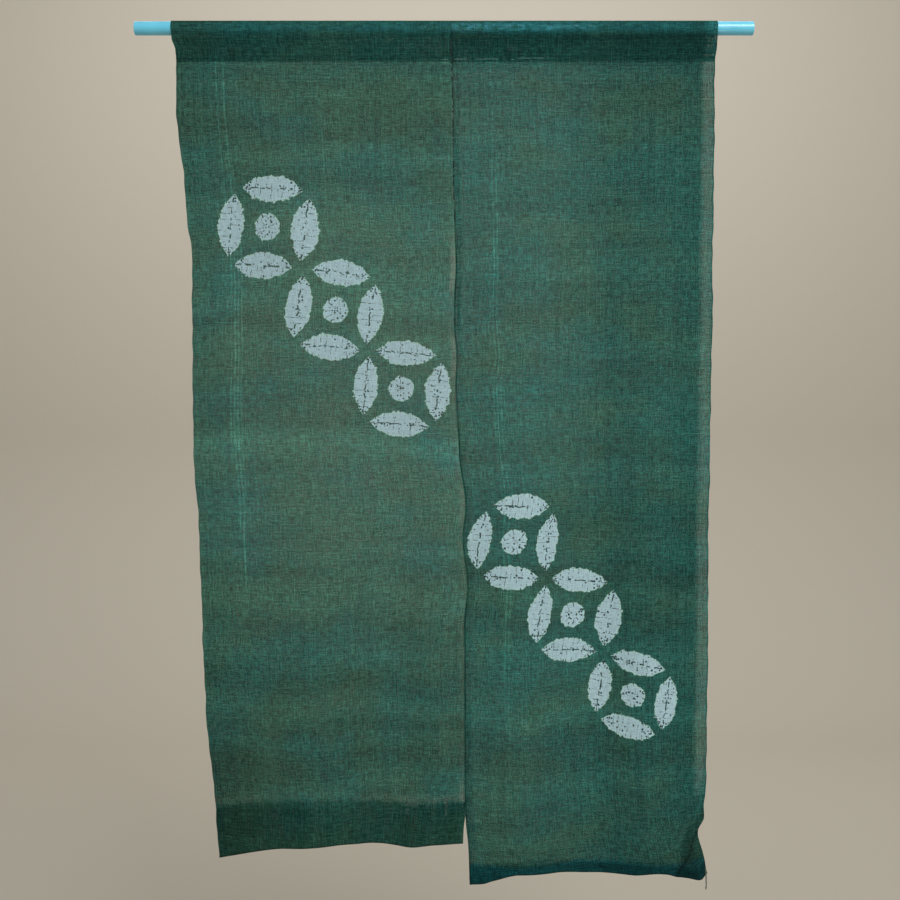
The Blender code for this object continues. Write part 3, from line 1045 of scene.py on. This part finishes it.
def profile(value, rows, column):
    """A number that follows one column of a table, smoothly, as a ramp of greys."""
    first, last = rows[0][0], rows[-1][0]
    share = mm_step(value, first, last)
    share.socket.node.interpolation_type = "LINEAR"
    top = max(row[column] for row in rows)
    ramp_node = value.tree.nodes.new("ShaderNodeValToRGB")
    ramp_node.color_ramp.interpolation = "EASE"
    stops = ramp_node.color_ramp.elements
    for row in rows[1:-1]:
        stops.new((row[0] - first) / (last - first))
    for stop, row in zip(stops, rows):
        stop.color = (*[row[column] / top] * 3, 1.0)
    wire(ramp_node.inputs[0], share)
    return Field(ramp_node.outputs["Color"]) * top


def inward_from(width, places):
    """Places across the cloth, given as distances in from its far selvedge."""
    return [width - inward for inward in places]


def thread_gap(flat, position, wide, high, seed):
    """From 1 in the middle of a gap between threads to 0 in the middle of a thread."""
    drift = grain(flat, wide * 14, high * 14, seed)
    uneven = grain(flat, wide, high, seed + 3.0)
    return from_middle(position / (THREAD_PITCH * MM) + (drift * THREAD_DRIFT + uneven * THREAD_UNEVEN))


def streak_light(flat, across, drop, streaks):
    """How much lighter the cloth is where thick pale warp threads run."""
    wander = (grain(flat, 500.0, 160.0, seed=21.0) - 0.5) * (STREAK_WANDER * MM)
    broken = step(grain(flat, 3.0, 38.0, seed=22.0, detail=2.0), 0.35, 0.60, 0.50, 1.0)
    total = 0.0
    for place, half_width, top, foot, added in streaks:
        off = abs(across - (wander + place * MM))
        line = mm_step(off, 0.3 * half_width, half_width, added, 0.0)
        reach = mm_step(drop, top - 30, top + 30) * mm_step(drop, foot - 90, foot, 1.0, 0.0)
        total = total + line * reach
    return 1.0 + total * broken


def weave_and_crease_light(flat, across, drop, weft_and_crease_bands, streaks):
    """How light or dark each place is from weave and painted crease shade, about 1, and the broad and fine
    parts.
    """
    broad = grain(flat, 3.6, 260.0, 6.0, 2.0, 0.7) + grain(flat, 180.0, 3.4, 7.0, 2.0, 0.7)
    fine = grain(flat, 1.7, 14.0, seed=16.0) + grain(flat, 14.0, 1.7, seed=17.0)
    fibres = grain(flat, 1.7, 1.7, seed=19.0)
    cloudy = grain(flat, 70.0, 30.0, seed=18.0, detail=2.0)
    # the level bands are partly painted light and shade of creases
    wavy = drop + (grain(flat, 190.0, 300.0, seed=14.0) - 0.5) * (BAND_WANDER * MM)
    strength = step(grain(flat, 150.0, 60.0, seed=15.0), 0.30, 0.55, 0.65, 1.15)
    band = mix(strength, 1.0, profile(wavy, weft_and_crease_bands, 1), "FLOAT")
    light = step(broad, 0.82, 1.18, *BROAD_LIGHT) * step(fine, 0.80, 1.20, *FINE_LIGHT)
    light = light * step(fibres, 0.30, 0.70, *FIBRE_LIGHT) * step(cloudy, 0.30, 0.70, *CLOUDY_LIGHT)
    return light * (band * streak_light(flat, across, drop, streaks)), broad, fine


def corner_folds(across, drop, width):
    """Where the lower outer corner is folded under, the crisp crease in it, and the cloth above them."""
    from_edge = 1.0 - across / (width * MM)
    upper = drop - (from_edge * (UPPER_FALL * MM) + UPPER_FOLD * MM)
    crease = drop - (from_edge * (CREASE_FALL * MM) + PINCH * MM)
    near = step(from_edge, *FOLD_ACROSS, 1.0, 0.0)
    in_crease = near * mm_step(abs(crease), *CREASE_EDGE, 1.0, 0.0)
    return near * mm_step(upper, *FOLD_EDGE), in_crease, mm_step(upper, *ABOVE_EDGE, 1.0, 0.0)


def sheer_hemp(name, motifs, openness_and_light, painted_light_across, weft_and_crease_bands, streaks, olive, clean, width, turned):
    """The dyed cloth of one panel. The right one is turned in at its inner edge, and folded at its corner."""
    material, tree = new_material(name)
    nodes = tree.nodes
    nodes.clear()
    place = nodes.new("ShaderNodeUVMap")
    place.uv_map = FLAT_MAP
    flat = Field(place.outputs["UV"])
    across, height = parted(flat)
    drop = height * -1.0

    gap_up = thread_gap(flat, across, 1.4, 50.0, seed=1.0)
    gap_across = thread_gap(flat, height, 50.0, 1.4, seed=2.0)
    woven, broad, fine = weave_and_crease_light(flat, across, drop, weft_and_crease_bands, streaks)
    thick = step(grain(flat, 2.0, 46.0, seed=9.0), *THICK) + step(grain(flat, 40.0, 2.0, seed=10.0), *THICK)
    patches = grain(flat, 150.0, 110.0, 11.0, 4.0, 0.6) + (broad * 0.35 + (olive - 0.85))
    white, crept, rim = resist(flat, motifs)
    undyed = white * (1.0 - crept)

    # Painted light and shade: down the panel from its table, and across it from the other
    side = profile(across, painted_light_across, 1)
    light = profile(drop, openness_and_light, 2) * (side * SIDE_LIGHT + (1 - SIDE_LIGHT))
    light = light * woven * (1.0 + thick * THICK_LIGHT)
    if turned:
        outer_strip = mm_step(across, *inward_from(width, OUTER_SELVEDGE))
        at_fold = mm_step(abs(across), *EDGE_LINE_HALF, 1.0, 0.0)
        folded, in_crease, above_fold = corner_folds(across, drop, width)
        light = light * (1.0 + outer_strip * OUTER_PALE) * (1.0 + at_fold * profile(drop, EDGE_LINE, 1))
        light = light * (1.0 - folded * FOLD_SHADE) * (1.0 - in_crease * CREASE_SHADE)
    else:
        paler = mm_step(across, *inward_from(width, INNER_EDGE), 1.0, INNER_PALE)
        corner = mm_step(drop, *CORNER_DROP) * mm_step(drop, *CORNER_HEM, 1.0, CORNER_IN_HEM)
        corner = mm_step(across, *CORNER_ACROSS, 1.0, 0.0) * corner
        light = light * paler * (1.0 - corner * CORNER_SHADE)
    light = mix(undyed, light, step(fine, 0.80, 1.20, *[clean * grey for grey in UNDYED_LIGHT]), "FLOAT")
    greys = nodes.new("ShaderNodeCombineColor")
    for socket in greys.inputs:
        wire(socket, light)

    dyed = mix(step(patches, 0.25, 0.75), DYED_TEAL, DYED_OLIVE)
    if turned:
        dyed = mix(mm_step(drop, *DEEP_FROM), dyed, DYED_DEEP)
    dyed = mix(white * crept, dyed, DYE_IN_MARKS)
    colour = mix(undyed, dyed, mix(rim, UNDYED, RIM))
    colour = mix(1.0, colour, greys.outputs[0], blend="MULTIPLY")

    open_share = profile(drop, openness_and_light, 1) * side * step(broad, 0.70, 1.30, 1.25, 0.75)
    patchy = step(grain(flat, 11.0, 5.0, seed=25.0, detail=3.0), 0.36, 0.62, 0.40, 1.4)
    open_share = open_share * mix(mm_step(drop, *OVER_ROD, 1.0, 0.0), 1.0, patchy, "FLOAT")
    if turned:
        strip = mm_step(across, *STRIP_FROM, STRIP_OPEN, 0.0)
        open_share = open_share + (above_fold * (outer_strip * OUTER_OPEN) + strip)
        open_share = open_share * (1.0 - folded * FOLD_CLOSED)
    else:
        sparse = mm_step(across, width - INNER_SELVEDGE - 1, width - INNER_SELVEDGE + 1)
        open_share = open_share + sparse * profile(drop, INNER_SPARSE, 1)
    from_edge = nodes.new("ShaderNodeAttribute")
    from_edge.attribute_name = FROM_RAW_EDGE
    ragged = grain(flat, 16.0, 7.0, seed=27.0, detail=2.0) * (RAW_WANDER * MM)
    frayed = Field(from_edge.outputs["Fac"]) + ragged
    open_share = maths("MAXIMUM", open_share, mm_step(frayed, *RAW_EDGE, RAW_OPEN, 0.0))
    edge = 1.0 - maths("SQRT", open_share)
    soft = edge - HOLE_SOFT
    hole = step(gap_up, soft, edge) * step(gap_across, soft, edge) * (1.0 - undyed * UNDYED_CLOSED)
    if turned:
        hole = hole * mm_step(across, *inward_from(width, CLOSE_WOVEN), 1.0, 0.0)

    relief = nodes.new("ShaderNodeBump")
    relief.inputs["Strength"].default_value = 0.5
    relief.inputs["Distance"].default_value = 0.2 * MM
    wire(relief.inputs["Height"], thick - (gap_up * gap_up + gap_across * gap_across))
    hemp = nodes.new("ShaderNodeBsdfPrincipled")
    hemp.inputs["Roughness"].default_value = 0.85
    hemp.inputs["Specular IOR Level"].default_value = 0.2
    wire(hemp.inputs["Base Color"], colour)
    wire(hemp.inputs["Normal"], relief.outputs["Normal"])
    through = nodes.new("ShaderNodeBsdfTranslucent")
    wire(through.inputs["Color"], colour)
    cloth = mix_shaders(tree, LIGHT_THROUGH, hemp, through)
    sheer = mix_shaders(tree, 1.0 - hole, nodes.new("ShaderNodeBsdfTransparent"), cloth)
    output = nodes.new("ShaderNodeOutputMaterial")
    wire(output.inputs["Surface"], sheer.outputs["Shader"])
    print(name, "has", len(nodes), "nodes")
    return material


left_cloth.data.materials.append(
    sheer_hemp("left sheer hemp", left_motifs, LEFT_OPENNESS_AND_PAINTED_LIGHT, LEFT_PAINTED_LIGHT_ACROSS, LEFT_WEFT_AND_CREASE_BANDS, LEFT_STREAKS, LEFT_OLIVE,
               LEFT_CLEAN, LEFT_WIDTH, False))
right_cloth.data.materials.append(
    sheer_hemp("right sheer hemp", right_motifs, RIGHT_OPENNESS_AND_PAINTED_LIGHT, RIGHT_PAINTED_LIGHT_ACROSS, RIGHT_WEFT_AND_CREASE_BANDS, RIGHT_STREAKS,
               RIGHT_OLIVE, RIGHT_CLEAN, RIGHT_WIDTH, True))

# %% [markdown]
# The sewing
#
# All of it is done by hand. The two panels are joined by a running stitch in dark thread, the pockets and
# the hems are caught down with a finer one in the cloth's own colour, and on both sides of the seam a pale
# thread of the pocket's edge lies open. A stitch could be painted on, but a thread stands proud and casts
# its own small shadow. So each is a short curve with a round section: it comes up through the cloth, lies
# on it, and goes down again.

# %% Points on the cloth
FRONT_ROWS = slice(HEM_ROWS + FOOT_ROWS, HEM_ROWS + FOOT_ROWS + BODY_ROWS + POCKET_ROWS)


def on_cloth(points, flat, across, drop):
    """The point of a panel's front, in millimetres, at a place across it and below the rod."""
    columns = flat[0, :, 0]
    at = int(np.clip(np.searchsorted(columns, across) - 1, 0, len(columns) - 2))
    share = (across - columns[at]) / (columns[at + 1] - columns[at])
    sides = []
    for column in (at, at + 1):
        heights = flat[FRONT_ROWS, column, 1]
        sides.append([np.interp(-drop, heights, points[FRONT_ROWS, column, axis]) for axis in range(3)])
    return Vector(sides[0]).lerp(Vector(sides[1]), float(share))


print("the seam's top is at", [round(c) for c in on_cloth(right_points, right_flat, 0.0, 40.0)], "mm")

# %% Threads
# Radius of each thread, and for the loose one of each ply
SEAM_THREAD, STRIP_THREAD, LOOSE_THREAD = 1.05, 0.40, 0.55
PALE_THREAD, POCKET_THREAD, HEM_THREAD = 0.36, 0.30, 0.24
STITCH_SHAPE = (
    # share along the stitch, forward of the cloth, thickness
    (0.00, -0.6, 0.6),
    (0.08, 0.1, 0.9),
    (0.30, 0.5, 1.0),
    (0.55, 0.6, 1.0),
    (0.80, 0.4, 1.0),
    (0.93, 0.1, 0.9),
    (1.00, -0.6, 0.6),
)


def stitch(points, flat, start, end):
    """One stitch between two places (across, drop): points in millimetres, each with its thickness."""
    path = []
    for share, forward, thickness in STITCH_SHAPE:
        across = start[0] + (end[0] - start[0]) * share
        drop = start[1] + (end[1] - start[1]) * share
        path.append((on_cloth(points, flat, across, drop) + Vector((0.0, -forward, 0.0)), thickness))
    return path


def threads(name, paths, radius, finish):
    """Lengths of thread as one curve object with a round section."""
    lengths = bpy.data.curves.new(name, "CURVE")
    lengths.dimensions = "3D"
    lengths.bevel_depth = radius * MM
    lengths.bevel_resolution = 2
    lengths.use_fill_caps = True
    for path in paths:
        spline = lengths.splines.new("POLY")
        spline.points.add(len(path) - 1)
        for point, (place, thickness) in zip(spline.points, path):
            point.co = (*(place * MM), 1.0)
            point.radius = thickness
    lengths.materials.append(finish)
    sewn = add_object(name, lengths)
    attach(sewn, "root")
    print(name, "has", len(paths), "lengths of thread")


def thread_finish(name, colour, pale):
    """Twisted hemp thread, a little uneven along its length."""
    material, tree = new_material(name)
    shader = tree.nodes["Principled BSDF"]
    where = tree.nodes.new("ShaderNodeTexCoord").outputs["Object"]
    uneven = tree.nodes.new("ShaderNodeTexNoise")
    uneven.inputs["Scale"].default_value = 1 / (1.5 * MM)
    wire(uneven.inputs["Vector"], where)
    wire(shader.inputs["Base Color"], mix(step(Field(uneven.outputs["Fac"]), 0.35, 0.65), colour, pale))
    shader.inputs["Roughness"].default_value = 0.8
    plies = tree.nodes.new("ShaderNodeTexWave")
    plies.bands_direction = "DIAGONAL"
    plies.inputs["Scale"].default_value = 1 / (1.2 * MM)
    wire(plies.inputs["Vector"], where)
    relief = tree.nodes.new("ShaderNodeBump")
    relief.inputs["Distance"].default_value = 0.1 * MM
    wire(relief.inputs["Height"], plies.outputs["Fac"])
    wire(shader.inputs["Normal"], relief.outputs["Normal"])
    return material


dark_thread = thread_finish("dark sewing thread", (0.003, 0.020, 0.020), (0.008, 0.040, 0.038))
cloth_thread = thread_finish("cloth coloured thread", (0.020, 0.105, 0.095), (0.040, 0.170, 0.150))
pale_thread = thread_finish("pale thread", (0.12, 0.33, 0.29), (0.22, 0.46, 0.40))
loose_finish = thread_finish("loose olive thread", (0.10, 0.14, 0.10), (0.17, 0.21, 0.15))

# %% The seam between the panels
SEAM_STITCHES = (
    # from drop, to drop
    (19, 47), (49, 57), (62, 69), (77, 88), (92, 113), (124, 127), (132, 135), (146, 160), (162, 174),
    (178, 181), (184, 187), (213, 224), (227, 229), (236, 239), (243, 253), (262, 276), (290, 311),
)
SEAM_ACROSS = 0.6
threads("seam_stitches", [
    stitch(right_points, right_flat, (SEAM_ACROSS, top), (SEAM_ACROSS, foot)) for top, foot in SEAM_STITCHES
], SEAM_THREAD, dark_thread)

# %% Stitches of the pockets
POCKET_PITCH = 7.5
POCKET_STITCH = 3.2
POCKET_WANDER = 1.1
POCKET_SEWN = STITCH_LINE - 0.6
PALE_ON_LEFT = (
    # from and to across the panel, drop
    (434, 445, 50.4), (434, 445, 55.6),
)
PALE_ON_RIGHT = (
    (4, 27, 49.8), (38, 77, 49.8), (85, 88, 50.0), (97, 103, 50.4), (108, 129, 48.4), (131, 152, 48.2),
)


def pocket_row(points, flat, width):
    """A level row of small stitches, their places a little uneven."""
    row = []
    for number in range(1, int(width / POCKET_PITCH)):
        shift = POCKET_WANDER * math.sin(number * 2.4)
        start = number * POCKET_PITCH + shift
        row.append(stitch(points, flat, (start, POCKET_SEWN + 0.3 * shift),
                          (start + POCKET_STITCH, POCKET_SEWN + 0.2 * shift)))
    return row


pocket_rows = pocket_row(left_points, left_flat, LEFT_WIDTH)
pocket_rows += pocket_row(right_points, right_flat, RIGHT_WIDTH)
threads("pocket_stitches", pocket_rows, POCKET_THREAD, cloth_thread)
pale_paths = []
for points, flat, rows in ((right_points, right_flat, PALE_ON_RIGHT), (left_points, left_flat, PALE_ON_LEFT)):
    pale_paths += [stitch(points, flat, (start, drop), (end, drop)) for start, end, drop in rows]
threads("pocket_edge_thread", pale_paths, PALE_THREAD, pale_thread)

# %% Stitches of the hems and of the turned strip
HEM_PITCH = 9.0
HEM_STITCH = 2.6
HEM_SEWN = 1.5                  # below the hem's top edge
STRIP_STITCHES = (
    # drop, from and to across the right panel
    (394, 1, 9), (418, 2, 8), (434, 1, 7), (604, 2, 9),
)


def hem_stitches(points, flat, foot, width):
    """Small stitches along a hem's top edge, which isn't level."""
    rows = []
    for number in range(1, int(width / HEM_PITCH)):
        across = number * HEM_PITCH + math.sin(number * 1.7)
        places = []
        for place in (across, across + HEM_STITCH):
            share = place / width
            places.append((place, float(curve(foot, 1, share) - curve(foot, 2, share)) + HEM_SEWN))
        rows.append(stitch(points, flat, *places))
    return rows


hem_rows = hem_stitches(left_points, left_flat, LEFT_FOOT, LEFT_WIDTH)
hem_rows += hem_stitches(right_points, right_flat, RIGHT_FOOT, RIGHT_WIDTH)
threads("hem_stitches", hem_rows, HEM_THREAD, cloth_thread)
threads("strip_stitches", [
    stitch(right_points, right_flat, (start, drop), (end, drop)) for drop, start, end in STRIP_STITCHES
], STRIP_THREAD, dark_thread)

# %% A loose thread at the corner
LOOSE_LENGTH = 36.0
LOOSE_STEPS = 14
LOOSE_TWIST = 5.0               # radians from end to end
LOOSE_OFF, LOOSE_OPENS = 0.45, 0.8        # how far apart the plies are, and how much more at the end
LOOSE_SWAY, LOOSE_BEND = 1.2, 2.4
LOOSE_TAPER = 0.3
LOOSE_TURNS = (0.0, 2.1, 4.2)
LOOSE_FROM = (RIGHT_WIDTH - 1.2, 1372.0)


def loose_ply(turn):
    """One of the plies of the thread that hangs from the hem's corner."""
    top = on_cloth(right_points, right_flat, *LOOSE_FROM)
    path = []
    for number in range(LOOSE_STEPS + 1):
        share = number / LOOSE_STEPS
        angle = turn + LOOSE_TWIST * share
        apart = LOOSE_OFF * (1 + LOOSE_OPENS * share)
        sag = Vector((LOOSE_SWAY * math.sin(LOOSE_BEND * share), -1.0, -LOOSE_LENGTH * share))
        around = Vector((apart * math.cos(angle), apart * math.sin(angle), 0.0))
        path.append((top + sag + around, 1.0 - LOOSE_TAPER * share))
    return path


threads("loose_thread", [loose_ply(turn) for turn in LOOSE_TURNS], LOOSE_THREAD, loose_finish)

# %% [markdown]
# The rod
#
# A steel tube with a pale blue enamel coat. The solid from the model is already the right shape, so it
# keeps its mesh and only gets the paint: a glossy coat over a faintly uneven colour, with a few fine
# scuffs along it from being pushed through pockets.

# %% Paint the rod
ROD_PAINT = (0.17, 0.72, 0.98)
ROD_SCUFFS = (0.62, 0.78, 0.84)


def enamel(name):
    """Glossy paint, faintly uneven, with fine scuffs along the rod."""
    material, tree = new_material(name)
    paint = tree.nodes["Principled BSDF"]
    where = Field(tree.nodes.new("ShaderNodeTexCoord").outputs["Object"])
    worn = step(grain(where, 60.0, 1.2, seed=4.0, detail=2.0), 0.62, 0.72)
    cloudy = step(grain(where, 40.0, 15.0, seed=5.0), 0.3, 0.7)
    colour = mix(cloudy, ROD_PAINT, [c * 0.92 for c in ROD_PAINT])
    wire(paint.inputs["Base Color"], mix(worn * 0.25, colour, ROD_SCUFFS))
    wire(paint.inputs["Roughness"], mix(worn, 0.22, 0.42, "FLOAT"))
    paint.inputs["Coat Weight"].default_value = 0.4
    return material


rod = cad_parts["rod"]
rod_paint = enamel("rod enamel")
for rod_slot in rod.material_slots:
    rod_slot.material = rod_paint
print("the rod has", len(rod.material_slots), "material slots")

# %% [markdown]
# The room
#
# A doorway curtain is seen against the room behind it, and a sheer one takes half its brightness from
# there. A pale wall well behind it and a pale floor do that job without adding anything to the object. The
# floor runs up into the wall in one sweep, so no line shows through the cloth.

# %% Floor and wall in one sweep
FLOOR = -1.80
WALL_AWAY = 3.9
SWEEP_RADIUS = 1.2
ROOM_HALF_WIDTH = 7.0
ROOM_FRONT = -5.0
ROOM_TOP = 3.4
PLASTER = (0.52, 0.48, 0.405, 1.0)


def room_sweep():
    """A line from the floor round into the wall, drawn out sideways."""
    bm = bmesh.new()
    corner_y, corner_z = WALL_AWAY - SWEEP_RADIUS, FLOOR + SWEEP_RADIUS
    start = bm.verts.new((-ROOM_HALF_WIDTH, corner_y, FLOOR))
    turned = bmesh.ops.spin(bm, geom=[start], cent=(0.0, corner_y, corner_z), axis=(1.0, 0.0, 0.0),
                            angle=math.pi / 2, steps=24)
    bm.verts.ensure_lookup_table()
    front = bm.verts.new((-ROOM_HALF_WIDTH, ROOM_FRONT, FLOOR))
    last = max(bm.verts, key=lambda v: v.co.z)
    top = bm.verts.new((-ROOM_HALF_WIDTH, WALL_AWAY, ROOM_TOP))
    bm.edges.new((front, start))
    bm.edges.new((last, top))
    drawn = bmesh.ops.extrude_edge_only(bm, edges=bm.edges[:])
    moved = [part for part in drawn["geom"] if isinstance(part, bmesh.types.BMVert)]
    bmesh.ops.translate(bm, verts=moved, vec=(2 * ROOM_HALF_WIDTH, 0.0, 0.0))
    bmesh.ops.recalc_face_normals(bm, faces=bm.faces)
    mesh = bpy.data.meshes.new("room")
    bm.to_mesh(mesh)
    bm.free()
    mesh.shade_smooth()
    return add_object("room", mesh)


room = room_sweep()
plaster, plaster_tree = new_material("pale plaster")
plaster_shader = plaster_tree.nodes["Principled BSDF"]
plaster_shader.inputs["Base Color"].default_value = PLASTER
plaster_shader.inputs["Roughness"].default_value = 0.9
room.data.materials.append(plaster)
print("room faces:", len(room.data.polygons))

# %% [markdown]
# Light and camera
#
# One large soft light from the upper right of the camera, one that washes the wall behind the cloth, and a
# pale surround that fills the rest. Much of it comes through the cloth from behind. The camera looks level
# and straight at the curtain's middle, from two metres away.

# %% Lights
SURROUND = (0.98, 0.97, 0.93, 1.0)
SURROUND_STRENGTH = 0.42
world = bpy.data.worlds.new("pale room")
world.use_nodes = True
surround = world.node_tree.nodes["Background"]
surround.inputs["Color"].default_value = SURROUND
surround.inputs["Strength"].default_value = SURROUND_STRENGTH
bpy.context.scene.world = world


def soft_light(name, place, target, size, power):
    """A rectangular light of this size in metres, turned to a target."""
    lamp = bpy.data.lights.new(name, "AREA")
    lamp.shape = "RECTANGLE"
    lamp.size, lamp.size_y = size
    lamp.energy = power
    light = add_object(name, lamp)
    light.location = place
    light.rotation_euler = (Vector(target) - Vector(place)).to_track_quat("-Z", "Y").to_euler()


soft_light("key", (1.3, -2.6, 1.5), (0.0, 0.0, -0.7), (1.8, 1.4), 70.0)
soft_light("wall wash", (0.0, 1.6, 1.9), (0.0, 3.9, -0.6), (4.0, 1.0), 60.0)
bpy.context.scene.view_settings.view_transform = "Standard"
print("lights:", [lamp.name for lamp in bpy.data.lights])

# %% Camera
CAMERA_PLACE = (0.0097, -2.0, -0.682)
CAMERA_LENS = 49.45
camera_data = bpy.data.cameras.new("camera")
camera_data.sensor_width = 36.0
camera_data.lens = CAMERA_LENS
camera = add_object("camera", camera_data)
camera.location = CAMERA_PLACE
camera.rotation_euler = (math.pi / 2, 0.0, 0.0)
bpy.context.scene.camera = camera
print("camera at", CAMERA_PLACE)
